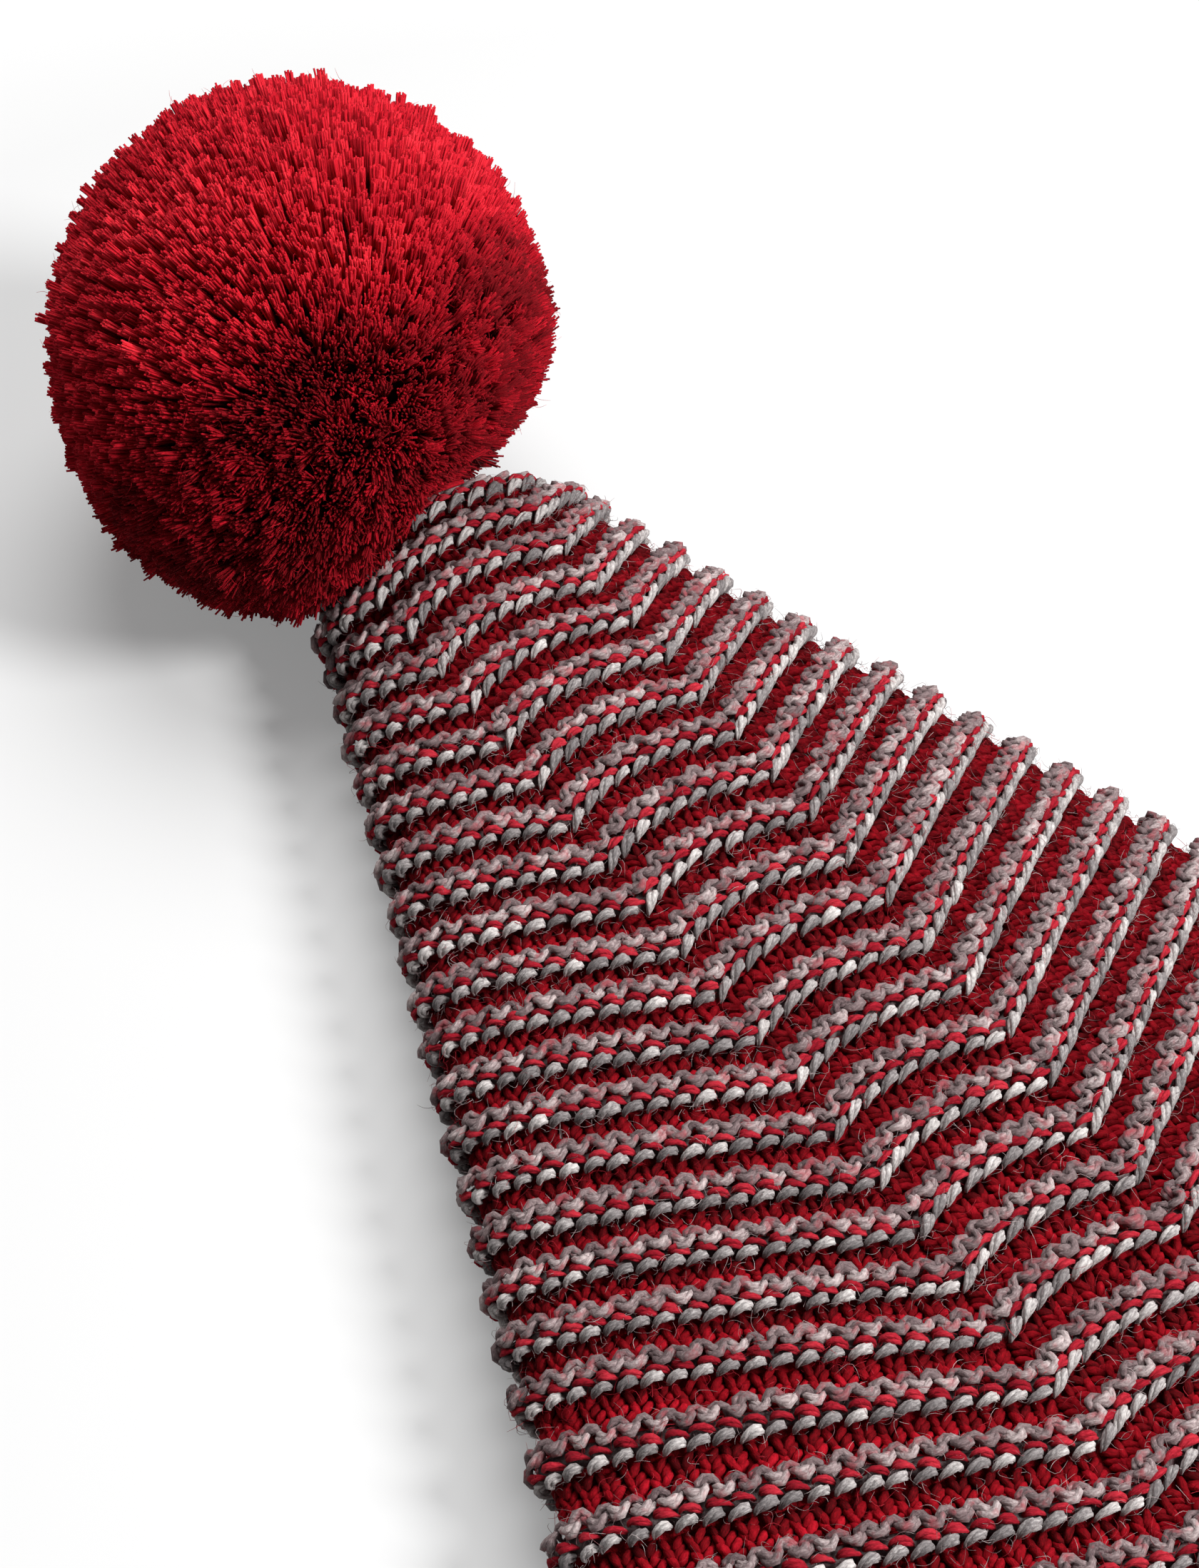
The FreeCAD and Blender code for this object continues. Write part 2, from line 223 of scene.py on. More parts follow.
class Course:
    """A ring with its length around the tube, and the three directions of the fabric at each point."""

    def __init__(self, course):
        self.points = ring(course)
        tangent = np.gradient(self.points, axis=0)
        tangent[0] = tangent[-1] = tangent[0] + tangent[-1]
        self.tangent = unit(tangent)
        toward_tip = ring(course - 0.06) - ring(course + 0.06)
        normal = unit(np.cross(self.tangent, toward_tip))
        self.normal = unit(np.stack([smooth(normal[:, k], NORMAL_SMOOTHING) for k in range(3)], axis=1))
        self.up = np.cross(self.normal, self.tangent)
        steps = np.linalg.norm(np.diff(self.points, axis=0), axis=1)
        self.length = np.concatenate([[0], np.cumsum(steps)])
        self.total = self.length[-1]
        x = np.where(ON_TOP, self.points[:, 0], np.nan)
        reach = LINE_REACH * np.nanmax(x)
        self.left = self.length[np.nanargmin(np.abs(x - max(LEFT_LINE_X, -reach)))]
        self.right = self.length[np.nanargmin(np.abs(x - min(RIGHT_LINE_X, reach)))]

    def at(self, s):
        """Point, tangent, direction towards the tip and normal at lengths s."""
        s = np.clip(s, 0, self.total)
        found = []
        for field in (self.points, self.tangent, self.up, self.normal):
            found.append(np.stack([np.interp(s, self.length, field[:, k]) for k in range(3)], axis=-1))
        return found


STITCH = 3.6               # width of one stitch
LEAN = 1.45                # stitches that the columns shift sideways from one row to the next
LEAN_SHARE = 0.3           # how much of that shift is left outside the band
BAND_STITCHES = 9          # between the lines of decreases
WIDE_BAND = 20.0
TIP_BAND_STITCHES = 6      # where the band is narrower than WIDE_BAND
SEAM_MARGIN = 0.8


def sites(course, made):
    """Places of a course's stitches: from each line of decreases to the seam, and across the band."""
    shift = (course * LEAN) % 1.0

    def outwards(length):
        return STITCH * (np.arange(int(length / STITCH) + 2) + 0.5 + LEAN_SHARE * shift)

    leftwards = made.left - outwards(made.left)
    rightwards = made.right + outwards(made.total - made.right)
    leftwards = leftwards[leftwards > SEAM_MARGIN]
    rightwards = rightwards[rightwards < made.total - SEAM_MARGIN]
    count = BAND_STITCHES if made.right - made.left > WIDE_BAND else TIP_BAND_STITCHES
    band = made.left + (made.right - made.left) * (np.arange(count) + 0.5) / count
    return np.concatenate([leftwards[::-1], band, rightwards])


# ---------------- tubes and meshes

MOST_TRIS = 190000         # in one piece
TONE_RUN = 97.0            # how far apart the fibre layouts of differently toned tubes start
WALL_START, WALL_SHARE = 0.15, 0.7     # a tube's wall in its cell of the bake layout, lengthwise
WALL_PAD = 0.06                        # and its margin across
END_PLACES, END_SIZE = (0.075, 0.925), (0.05, 0.3)     # its two ends there


def sweep(lines, radii, normals, sides):
    """Tubes along many polylines of the same number of points: their vertices."""
    along = unit(np.gradient(lines, axis=1))
    side = unit(np.cross(along, normals))
    up = np.cross(side, along)
    angle = np.arange(sides) * 2 * math.pi / sides
    sideways = np.cos(angle)[None, None, :, None] * radii[:, :, None, None]
    upwards = np.sin(angle)[None, None, :, None] * radii[:, :, None, None]
    return lines[:, :, None, :] + side[:, :, None, :] * sideways + up[:, :, None, :] * upwards


def tube_tris(verts):
    """Triangles in a block of closed tubes."""
    count, points, sides = verts.shape[:3]
    return count * ((points - 1) * sides * 2 + 2 * (sides - 2))


def tube_faces(verts, offset):
    """Corners of the walls' quads, and of the ends, for a block whose vertices start at an offset."""
    count, points, sides = verts.shape[:3]
    base = offset + np.arange(count)[:, None, None] * points * sides
    p = np.arange(points - 1)[None, :, None] * sides
    s = np.arange(sides)[None, None, :]
    s2 = (s + 1) % sides
    wall = np.stack([base + p + s, base + p + s2, base + p + sides + s2, base + p + sides + s], axis=-1)
    first = base[:, 0] + np.arange(sides)[None, ::-1]
    last = base[:, 0] + (points - 1) * sides + np.arange(sides)[None, :]
    return wall.reshape(-1), np.stack([first, last], axis=1).reshape(-1)


def wall_corners(u, v, shape):
    """A layout's corners for each quad of the wall, from its steps along the tubes and around them."""
    u0, u1 = np.broadcast_to(u[:, :-1, None], shape), np.broadcast_to(u[:, 1:, None], shape)
    v0, v1 = np.broadcast_to(v[:, None, :-1], shape), np.broadcast_to(v[:, None, 1:], shape)
    return np.stack([u0, v0, u0, v1, u1, v1, u1, v0], axis=-1).reshape(-1, 2)


def bake_layout(verts, first_tube, grid):
    """Each tube has its own cell of a square grid: its wall fills most of it, its ends the margins."""
    count, points, sides = verts.shape[:3]
    cell = 1.0 / grid
    index = first_tube + np.arange(count)
    cell_u, cell_v = (index % grid) * cell, (index // grid) * cell
    wall_u = (np.arange(points) / (points - 1)) * WALL_SHARE + WALL_START
    wall_v = (np.arange(sides + 1) / sides) * (1 - 2 * WALL_PAD) + WALL_PAD
    u, v = cell_u[:, None] + cell * wall_u[None, :], cell_v[:, None] + cell * wall_v[None, :]
    around = np.arange(sides) * 2 * math.pi / sides
    ends = []
    for place, turn in zip(END_PLACES, (around[::-1], around)):
        end_u = cell_u[:, None] + cell * (place + END_SIZE[0] * np.cos(turn))
        end_v = cell_v[:, None] + cell * (0.5 + END_SIZE[1] * np.sin(turn))
        ends.append(np.stack([end_u, end_v], axis=-1))
    return [wall_corners(u, v, (count, points - 1, sides)), np.stack(ends, axis=1).reshape(-1, 2)]


def fibre_layout(verts, seeds):
    """Millimetres along each tube, from a start of its own, by share of a turn around it."""
    count, points, sides = verts.shape[:3]
    steps = np.linalg.norm(np.diff(verts.mean(axis=2), axis=1), axis=2)
    run = np.concatenate([np.zeros((count, 1)), np.cumsum(steps, axis=1)], axis=1)
    run = run + (seeds * TONE_RUN)[:, None]
    around = np.arange(sides + 1) / sides
    ends = np.broadcast_to(run[:, [0, -1], None], (count, 2, sides))
    end_corners = np.stack([ends, np.broadcast_to(around[:-1], ends.shape)], axis=-1)
    return [wall_corners(run, around[None], (count, points - 1, sides)), end_corners.reshape(-1, 2)]


def in_scene(name, data):
    obj = bpy.data.objects.new(name, data)
    bpy.context.scene.collection.objects.link(obj)
    return obj


def add_layout(mesh, name, corners):
    layer = mesh.uv_layers.new(name=name)
    layer.data.foreach_set("uv", corners.astype(np.float32).ravel())


def mesh_from(name, blocks):
    """One mesh out of blocks of tubes, with a bake layout, a fibre layout and a tone for each tube."""
    grid = int(math.ceil(math.sqrt(sum(len(verts) for verts, _ in blocks))))
    corners, starts, bake, fibre, tones = [], [], [], [], []
    vertex_count = corner_count = tube_count = 0
    for verts, seeds in blocks:
        count, points, sides = verts.shape[:3]
        for faces, size in zip(tube_faces(verts, vertex_count), (4, sides)):
            corners.append(faces)
            starts.append(corner_count + size * np.arange(len(faces) // size))
            corner_count += len(faces)
        bake += bake_layout(verts, tube_count, grid)
        fibre += fibre_layout(verts, seeds)
        tones.append(np.repeat(seeds, points * sides))
        vertex_count += count * points * sides
        tube_count += count
    places = np.concatenate([verts.reshape(-1, 3) for verts, _ in blocks])
    places[:, 2] = np.maximum(places[:, 2], LOWEST)
    corners, starts = np.concatenate(corners), np.concatenate(starts)
    mesh = bpy.data.meshes.new(name)
    mesh.vertices.add(len(places))
    mesh.vertices.foreach_set("co", (places * MM).astype(np.float32).ravel())
    mesh.loops.add(len(corners))
    mesh.loops.foreach_set("vertex_index", corners.astype(np.int32))
    mesh.polygons.add(len(starts))
    mesh.polygons.foreach_set("loop_start", starts.astype(np.int32))
    mesh.polygons.foreach_set("use_smooth", np.ones(len(starts), bool))
    mesh.update(calc_edges=True)
    add_layout(mesh, "OFBake", np.concatenate(bake))
    add_layout(mesh, "fibre", np.concatenate(fibre))
    mesh.attributes.new("tone", "FLOAT", "POINT")
    mesh.attributes["tone"].data.foreach_set("value", np.concatenate(tones).astype(np.float32))
    mesh.uv_layers["OFBake"].active_render = True
    return in_scene(name, mesh)


def grid_mesh(name, rings, fabric=None):
    """A mesh out of closed rings. One with a "fabric" layout, which has one more point in each ring, has two
    faces, so its last ring joins its first."""
    rings = np.array(rings)
    count, around = rings.shape[:2]
    verts = rings.reshape(-1, 3) * MM
    verts[:, 2] = np.maximum(verts[:, 2], LOWEST * MM)
    bands = count - 1 if fabric is None else count
    i = np.arange(bands)[:, None] * around
    i2 = (i + around) % (count * around)
    j = np.arange(around)[None, :]
    j2 = (j + 1) % around
    faces = np.stack([i + j, i + j2, i2 + j2, i2 + j], axis=-1).reshape(-1, 4)
    u0 = np.broadcast_to(j / around, (bands, around))
    u1 = u0 + 1 / around
    v0 = np.broadcast_to(np.arange(bands)[:, None] / bands, (bands, around))
    v1 = v0 + 1 / bands
    mesh = bpy.data.meshes.new(name)
    mesh.from_pydata(verts.tolist(), [], faces.tolist())
    mesh.polygons.foreach_set("use_smooth", np.ones(len(faces), bool))
    add_layout(mesh, "OFBake", np.stack([u0, v0, u1, v0, u1, v1, u0, v1], axis=-1))
    if fabric is not None:
        fabric = np.array([*fabric, fabric[0]])
        quads = [fabric[:-1, :-1], fabric[:-1, 1:], fabric[1:, 1:], fabric[1:, :-1]]
        add_layout(mesh, "fabric", np.stack(quads, axis=2))
    return in_scene(name, mesh)


# ---------------- materials

def set_inputs(node, values):
    """Values for a node's inputs, by name or number."""
    for key, value in values.items():
        node.inputs[key].default_value = value


def add(tree, kind, inputs=None, **settings):
    node = tree.nodes.new("ShaderNode" + kind)
    for key, value in settings.items():
        setattr(node, key, value)
    set_inputs(node, inputs or {})
    return node


def new_material(name):
    material = bpy.data.materials.new(name)
    material.use_nodes = True
    tree = material.node_tree
    return material, tree, tree.nodes["Principled BSDF"], tree.links.new


def ramp(tree, stops):
    node = add(tree, "ValToRGB")
    elements = node.color_ramp.elements
    while len(elements) < len(stops):
        elements.new(0.5)
    for element, (position, colour) in zip(elements, stops):
        element.position = position
        element.color = (*colour, 1)
    return node


def flecked(tree, colour, fleck, share):
    """A colour with cloudy flecks of another over it."""
    link = tree.links.new
    place = add(tree, "TexCoord")
    cloud = add(tree, "TexNoise", {"Scale": 420.0, "Detail": 4.0})
    link(place.outputs["Object"], cloud.inputs["Vector"])
    level = add(tree, "MapRange", {"From Min": 0.52, "From Max": 0.68, "To Max": share})
    link(cloud.outputs["Fac"], level.inputs["Value"])
    blend = add(tree, "Mix", {"B": (*fleck, 1)}, data_type="RGBA")
    link(level.outputs["Result"], blend.inputs["Factor"])
    link(colour, blend.inputs["A"])
    return blend.outputs["Result"]


def yarn_material(name, shades, streak=1.0, sheen=0.0, tint=(1, 1, 1), specular=0.25, fleck=None, flecks=0.0):
    """Spun wool: fibre streaks along each strand, a tone for each strand, and a soft sheen. Its shades are the
    dark, middle and light colours."""
    material, tree, shader, link = new_material(name)
    uv = add(tree, "UVMap", uv_map="fibre")
    mapping = add(tree, "Mapping", {"Scale": (0.9, 5.0, 1), "Rotation": (0, 0, 0.45)})
    link(uv.outputs["UV"], mapping.inputs["Vector"])
    fibres = add(tree, "TexNoise", {"Scale": 2.2, "Detail": 3.0, "Roughness": 0.6})
    link(mapping.outputs["Vector"], fibres.inputs["Vector"])
    streaks = add(tree, "Math", {1: 0.62}, operation="MULTIPLY")
    link(fibres.outputs["Fac"], streaks.inputs[0])
    tone = add(tree, "Attribute", attribute_name="tone")
    level = add(tree, "Math", {1: 0.45}, operation="MULTIPLY_ADD")
    link(tone.outputs["Fac"], level.inputs[0])
    link(streaks.outputs["Value"], level.inputs[2])
    colours = ramp(tree, list(zip((0.22, 0.5, 0.78), shades)))
    link(level.outputs["Value"], colours.inputs["Fac"])
    colour = colours.outputs["Color"]
    if fleck:
        colour = flecked(tree, colour, fleck, flecks)
    link(colour, shader.inputs["Base Color"])
    bump = add(tree, "Bump", {"Strength": 0.5 * streak, "Distance": 0.0004})
    link(fibres.outputs["Fac"], bump.inputs["Height"])
    link(bump.outputs["Normal"], shader.inputs["Normal"])
    set_inputs(shader, {"Roughness": 0.85, "Specular IOR Level": specular})
    set_inputs(shader, {"Sheen Weight": sheen, "Sheen Roughness": 0.45, "Sheen Tint": (*tint, 1)})
    return material


# The grey yarn of the lozenges, painted paler than the same yarn in the chain: painted light on the ridge's
# lit side.
GREY_PAINTED_LIT_SHADES = [(0.04, 0.034, 0.036), (0.22, 0.198, 0.196), (0.60, 0.56, 0.54)]
GREY_PAINTED_LIT = yarn_material("grey_yarn_painted_lit", GREY_PAINTED_LIT_SHADES, sheen=0.15, tint=(1, 0.9, 0.9))
# The chain's grey yarn: pinker from red flecks of fuzz, and darker as painted shade on the ridge's tip-facing
# side.
GREY_FLECKED_AND_SHADED = yarn_material(
    "grey_yarn",
    [(0.045, 0.024, 0.027), (0.19, 0.137, 0.138), (0.50, 0.42, 0.41)],
    streak=0.9,
    sheen=0.15,
    tint=(1, 0.8, 0.8),
    fleck=(0.30, 0.018, 0.033),
    flecks=0.6,
)
# The red yarn of the ridges' dashes and loose fibres, painted lighter than the same yarn in the valleys:
# painted light.
RED_PAINTED_LIT = yarn_material(
    "red_yarn",
    [(0.08, 0.001, 0.004), (0.25, 0.003, 0.012), (0.46, 0.025, 0.04)],
    sheen=0.04,
    tint=(1, 0.4, 0.4),
    specular=0.15,
)
# The same red yarn painted darker, for the valleys, the brim's edge and the seam: painted shade.
RED_PAINTED_SHADED_SHADES = [(0.05, 0.0003, 0.0014), (0.18, 0.001, 0.0047), (0.36, 0.005, 0.014)]
RED_PAINTED_SHADED = yarn_material("red_yarn_painted_shaded", RED_PAINTED_SHADED_SHADES, specular=0.08)
PILE_RED = yarn_material(
    "pile_red_yarn",
    [(0.13, 0.0005, 0.003), (0.43, 0.0035, 0.013), (0.68, 0.022, 0.037)],
    streak=0.6,
    sheen=0.02,
    tint=(1, 0.3, 0.35),
    specular=0.12,
)

ROWS_IN_A_COURSE = 5.0
GREY_REACH = (0.12, 0.15)  # in courses from a ridge: where the ground turns from grey to red


def ground_material(name):
    """The knitted ground behind the stitches, and the inside of the cap: rows of small purl bumps, red in the
    valleys and grey behind the ridges. It reads the "fabric" layout: stitches around, and courses along."""
    material, tree, shader, link = new_material(name)
    uv = add(tree, "UVMap", uv_map="fabric")
    rows = add(tree, "Mapping", {"Scale": (1, ROWS_IN_A_COURSE, 1)})
    link(uv.outputs["UV"], rows.inputs["Vector"])
    bumps = add(tree, "TexVoronoi", {"Scale": 1.0, "Randomness": 0.35}, voronoi_dimensions="2D")
    link(rows.outputs["Vector"], bumps.inputs["Vector"])
    place = add(tree, "TexCoord")
    grain = add(tree, "TexNoise", {"Scale": 1400.0, "Detail": 3.0})
    link(place.outputs["Object"], grain.inputs["Vector"])
    bump_shade_and_grain = add(tree, "Math", {1: 0.5}, operation="MULTIPLY_ADD")
    link(grain.outputs["Fac"], bump_shade_and_grain.inputs[0])
    link(bumps.outputs["Distance"], bump_shade_and_grain.inputs[2])
    # each bump is painted darker towards its edges: painted shade between the bumps, over a fine grain
    red = ramp(tree, [(0.3, (0.21, 0.0015, 0.006)), (0.95, (0.04, 0.0004, 0.0012))])
    grey = ramp(tree, [(0.3, (0.19, 0.15, 0.15)), (0.95, (0.045, 0.02, 0.023))])
    link(bump_shade_and_grain.outputs["Value"], red.inputs["Fac"])
    link(bump_shade_and_grain.outputs["Value"], grey.inputs["Fac"])
    parts = add(tree, "SeparateXYZ")
    link(uv.outputs["UV"], parts.inputs["Vector"])
    from_ridge = add(tree, "Math", {1: 0.5}, operation="PINGPONG")
    link(parts.outputs["Y"], from_ridge.inputs[0])
    valley = add(tree, "MapRange", {"From Min": GREY_REACH[0], "From Max": GREY_REACH[1]})
    link(from_ridge.outputs["Value"], valley.inputs["Value"])
    yarns = add(tree, "Mix", data_type="RGBA")
    link(valley.outputs["Result"], yarns.inputs["Factor"])
    link(grey.outputs["Color"], yarns.inputs["A"])
    link(red.outputs["Color"], yarns.inputs["B"])
    link(yarns.outputs["Result"], shader.inputs["Base Color"])
    bump = add(tree, "Bump", {"Strength": 0.9, "Distance": 0.0012}, invert=True)
    link(bump_shade_and_grain.outputs["Value"], bump.inputs["Height"])
    link(bump.outputs["Normal"], shader.inputs["Normal"])
    set_inputs(shader, {"Roughness": 0.95, "Specular IOR Level": 0.08})
    return material


def core_material(name):
    """The dense middle of the pom pom, between its strands; its dark red is painted shade between them."""
    material, tree, shader, link = new_material(name)
    place = add(tree, "TexCoord")
    grain = add(tree, "TexNoise", {"Scale": 900.0, "Detail": 3.0})
    link(place.outputs["Object"], grain.inputs["Vector"])
    # very dark red: painted shade between the pile's strands
    colours = ramp(tree, [(0.35, (0.02, 0.0001, 0.0005)), (0.7, (0.10, 0.0006, 0.003))])
    link(grain.outputs["Fac"], colours.inputs["Fac"])
    link(colours.outputs["Color"], shader.inputs["Base Color"])
    bump = add(tree, "Bump", {"Strength": 0.8, "Distance": 0.0008})
    link(grain.outputs["Fac"], bump.inputs["Height"])
    link(bump.outputs["Normal"], shader.inputs["Normal"])
    set_inputs(shader, {"Roughness": 0.95, "Specular IOR Level": 0.05})
    return material


GROUND = ground_material("knitted_ground")
TIE_RED_AND_CORE_SHADE = core_material("tie_yarn_and_pom_middle_shade")


# ---------------- how the pieces are placed and what they wear

FOLD_LOW_Y = -45.5
FOLD_REACH = 25.0          # each side of a fold


def zone_of(row):
    """Whether a row's piece lies by the lower fold or the higher one."""
    return "lower" if ring(row + 0.7)[:, 1].min() < FOLD_LOW_Y + FOLD_REACH else "upper"


def bend_with_cap(obj, zone):
    """Bakes the piece's transform into its mesh; the fabric is not bent over a fold. The zone, the lower fold
    or the higher one, is not used.
    """
    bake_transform(obj)


def dressed(obj, material, slot):
    obj.data.materials.append(material)
    return obj


def cap_piece(obj, material, slot, zone):
    bend_with_cap(obj, zone)
    return dressed(obj, material, slot)


def pom_piece(obj, material):
    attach(obj, "pompom")
    return dressed(obj, material, "pom_pile")


# ---------------- stitches

PLY_SPREAD = 0.45          # how far the plies' centres lie from the strand's, as a share of its radius
PLY_RADIUS = 1.12          # plies are a little thicker than what that leaves, so they press together


@dataclass
class Stitch:
    """A stitch as one or two strands. A profile's points are (along the course, towards the tip, out)."""

    kind: str
    profiles: list
    radii: list
    tones: tuple
    at: float = 0.0        # part of a course, from its ridge towards the brim
    shift: float = 0.0     # along the course, in stitches
    sides: int = 5
    ply: int = 0
    twist: float = 0.0     # turns that the plies make in one stitch
    loose: float = 0.1     # unevenness of its place


SMILE = Stitch(
    "chain",
    [
        [(-1.5, 0.85, 1.3), (-1.0, 0.05, 2.2), (-0.35, -0.7, 2.5)]
        + [(0.45, -0.75, 2.55), (1.05, -0.05, 2.4), (1.35, 0.85, 1.6)]
    ],
    [0.5, 0.82, 0.98, 1.0, 0.84, 0.5],
    tones=(0.2, 0.8),
    at=-0.12,
    ply=2,
    twist=0.6,
    loose=0.17,
)
# The chain's upper, recessed half; its tones are lower than SMILE's, as painted shade on that half.
FROWN = Stitch(
    "chain",
    [
        [(-1.35, -0.2, 1.2), (-1.0, 0.75, 1.85), (-0.4, 1.3, 1.75)]
        + [(0.35, 1.25, 1.7), (0.95, 0.6, 1.9), (1.2, -0.25, 1.3)]
    ],
    [0.55, 0.84, 0.95, 0.95, 0.84, 0.55],
    tones=(0.0, 0.4),
    at=-0.12,
    shift=0.5,
    ply=2,
    twist=0.5,
    loose=0.17,
)
DASH = Stitch(
    "dash",
    [
        [(-1.6, 0.3, 1.0), (-1.1, 0.22, 1.9), (-0.4, 0.1, 2.3)]
        + [(0.4, -0.08, 2.3), (1.1, -0.25, 1.8), (1.55, -0.35, 0.9)]
    ],
    [0.3, 0.56, 0.74, 0.74, 0.56, 0.3],
    tones=(0.2, 0.8),
    at=0.06,
    shift=0.5,
    ply=2,
    twist=0.4,
)
LOZENGE = Stitch(
    "lozenge",
    [
        [(-1.7, -0.25, -0.2), (-1.3, -0.2, 0.6), (-0.75, -0.12, 1.25), (-0.1, 0.0, 1.65)]
        + [(0.55, 0.12, 1.85), (1.0, 0.2, 1.7), (1.28, 0.2, 0.9)]
    ],
    [0.26, 0.49, 0.7, 0.83, 0.88, 0.8, 0.46],
    tones=(0.2, 0.8),
    at=0.2,
    sides=6,
    ply=3,
    twist=0.5,
    loose=0.13,
)
VEE_HALF = [(1.5, 1.15, -1.4), (1.2, 0.6, -0.85), (0.8, -0.05, -0.65), (0.45, -0.7, -0.8), (0.25, -1.1, -1.4)]


def vee(at, raised, palest):
    """A V stitch of the valley. The rows of them lie at different heights, and the rows nearer the lozenges'
    ridge are painted darker, as painted shadow under that ridge.
    """
    left = [(-u, v, h + raised) for u, v, h in VEE_HALF]
    right = [(u, v, h + raised) for u, v, h in VEE_HALF]
    radii = [0.4, 0.6, 0.68, 0.62, 0.42]
    return Stitch("valley", [left, right], radii, tones=(palest - 0.5, palest), at=at, sides=6, loose=0.16)


STITCHES = [
    SMILE,
    FROWN,
    DASH,
    LOZENGE,
    # the first valley rows after the lozenges get the darkest tones: painted shadow under the ridge
    vee(0.32, 0.15, 0.3),
    vee(0.42, -0.15, 0.5),
    vee(0.53, -0.25, 0.9),
    vee(0.66, -0.05, 0.95),
]
GREY_PART = (GREY_FLECKED_AND_SHADED, "grey_yarn")
WEARS = {
    "chain": GREY_PART,
    "dash": (RED_PAINTED_LIT, "red_knit"),
    "lozenge": (GREY_PAINTED_LIT, "grey_yarn"),
    "valley": (RED_PAINTED_SHADED, "red_knit"),
}


def jitter(count, size):
    return RNG.normal(0, size, count)


def strands(made, s, stitch, profile, tones):
    """Blocks of tubes that repeat a profile at every place s of a course. Plies twist together."""
    u, v, h = np.array(profile, float).T
    count = len(s)
    scale = 1 + jitter(count, 0.05)
    du, dv, dh = (jitter(count, stitch.loose) for _ in range(3))
    point, _, tipward, normal = made.at(s[:, None] + u[None, :] * scale[:, None] + du[:, None])
    lift_v = v[None, :] * scale[:, None] + dv[:, None]
    lift_h = h[None, :] + dh[:, None]
    lines = point + tipward * lift_v[..., None] + normal * lift_h[..., None]
    radii = np.array(stitch.radii)[None, :] * (1 + jitter(count, 0.07))[:, None]
    if not stitch.ply:
        yield sweep(lines, radii, normal, stitch.sides), tones
        return
    along = unit(np.gradient(lines, axis=1))
    side = unit(np.cross(along, normal))
    up = np.cross(side, along)
    share = np.linspace(0, 1, len(u))
    phase = RNG.uniform(0, 2 * math.pi, count)
    for k in range(stitch.ply):
        angle = phase[:, None] + 2 * math.pi * (k / stitch.ply + stitch.twist * share[None, :])
        away = side * np.cos(angle)[..., None] + up * np.sin(angle)[..., None]
        centres = lines + away * (PLY_SPREAD * radii)[..., None]
        ply_radii = radii * (1 - PLY_SPREAD) * PLY_RADIUS
        yield sweep(centres, ply_radii, normal, stitch.sides), np.clip(tones + jitter(count, 0.06), 0, 1)


GROUPS = {}                # (kind, zone): its pieces, each a list of blocks of tubes


def put(kind, zone, blocks):
    """Adds blocks to the last piece of a kind and zone, or to a new one when that would be too large."""
    pieces = GROUPS.setdefault((kind, zone), [[]])
    blocks = list(blocks)
    if sum(tube_tris(verts) for verts, _ in pieces[-1] + blocks) > MOST_TRIS:
        pieces.append([])
    pieces[-1] += blocks


for row in range(FIRST_ROW, LAST_ROW + 1):
    zone = zone_of(row)
    for stitch in STITCHES:
        made = Course(row + stitch.at)
        s = sites(row, made) + STITCH * stitch.shift
        tones = RNG.uniform(*stitch.tones, len(s))
        for profile in stitch.profiles:
            put(stitch.kind, zone, strands(made, s, stitch, profile, tones))

for (kind, zone), pieces in GROUPS.items():
    for number, blocks in enumerate(pieces, start=1):
        obj = mesh_from(f"{kind}_{zone}_{number}", blocks)
        cap_piece(obj, *WEARS[kind], zone)


# ---------------- ground fabric behind the stitches

GROUND_AROUND = 288
RINGS_IN_A_COURSE = 12
OUTER_DEPTH = -1.7
INNER_DEPTH = -3.9
RIDGE_SWELL = 2.9          # how far the outer face rises behind a ridge
RIDGE_REACH = 0.25         # how far from the ridge it still does, in courses
GATHER_RINGS = 9
GATHER_SHARES = (0.88, 0.08)
GATHER_DRAW = 0.6          # courses that the gathered end takes up
PLEATS = 13
PLEAT_DEPTH = 0.9


def ground_ring(course, depth, swell):
    """One ring of the ground fabric, and its places in the fabric."""
    made = Course(course)
    from_ridge = min(abs(course - round(course)) / RIDGE_REACH, 1)
    raised = swell * max(0.0, math.cos(from_ridge * math.pi / 2))
    index = np.linspace(0, SAMPLES, GROUND_AROUND + 1).astype(int)
    points = made.points[index] + made.normal[index] * (depth + raised)
    fabric = np.stack([made.length[index] / STITCH, np.full(len(index), course)], axis=1)
    return points[:-1], fabric


def gathered(first):
    """Pleated rings that close the cap's tip from its first course to the hole that the tie goes through."""
    points, fabric = first
    centre = points.mean(axis=0)
    turn = np.arange(GROUND_AROUND) * 2 * math.pi / GROUND_AROUND
    rings = []
    for share in np.linspace(*GATHER_SHARES, GATHER_RINGS):
        bulge = math.sqrt(1 - share**2)
        closer = centre + (points - centre) * share
        closer[:, 1] += (NOSE_END_Y - 0.5 - centre[1]) * bulge + PLEAT_DEPTH * share * np.cos(PLEATS * turn)
        rings.append((closer, fabric - [0, GATHER_DRAW * bulge]))
    return rings[::-1]


def ground_piece(zone, first, last, closed):
    """A stretch of the fabric with its outer and inner faces."""
    courses = np.linspace(first, last, int((last - first) * RINGS_IN_A_COURSE))
    outer = [ground_ring(course, OUTER_DEPTH, RIDGE_SWELL) for course in courses]
    inner = [ground_ring(course, INNER_DEPTH, 0.0) for course in courses]
    if closed:
        outer = gathered(outer[0]) + outer
        inner = gathered(inner[0]) + inner
    rings = outer + inner[::-1]
    obj = grid_mesh(f"ground_{zone}", [points for points, _ in rings], [fabric for _, fabric in rings])
    return cap_piece(obj, GROUND, "red_knit", zone)


def declare_sheet(obj, first, last):
    """Measures the girths of 40 courses of the fabric and keeps nothing; no flat size is declared."""
    girths = [Course(course).total for course in np.linspace(first, last, 40)]


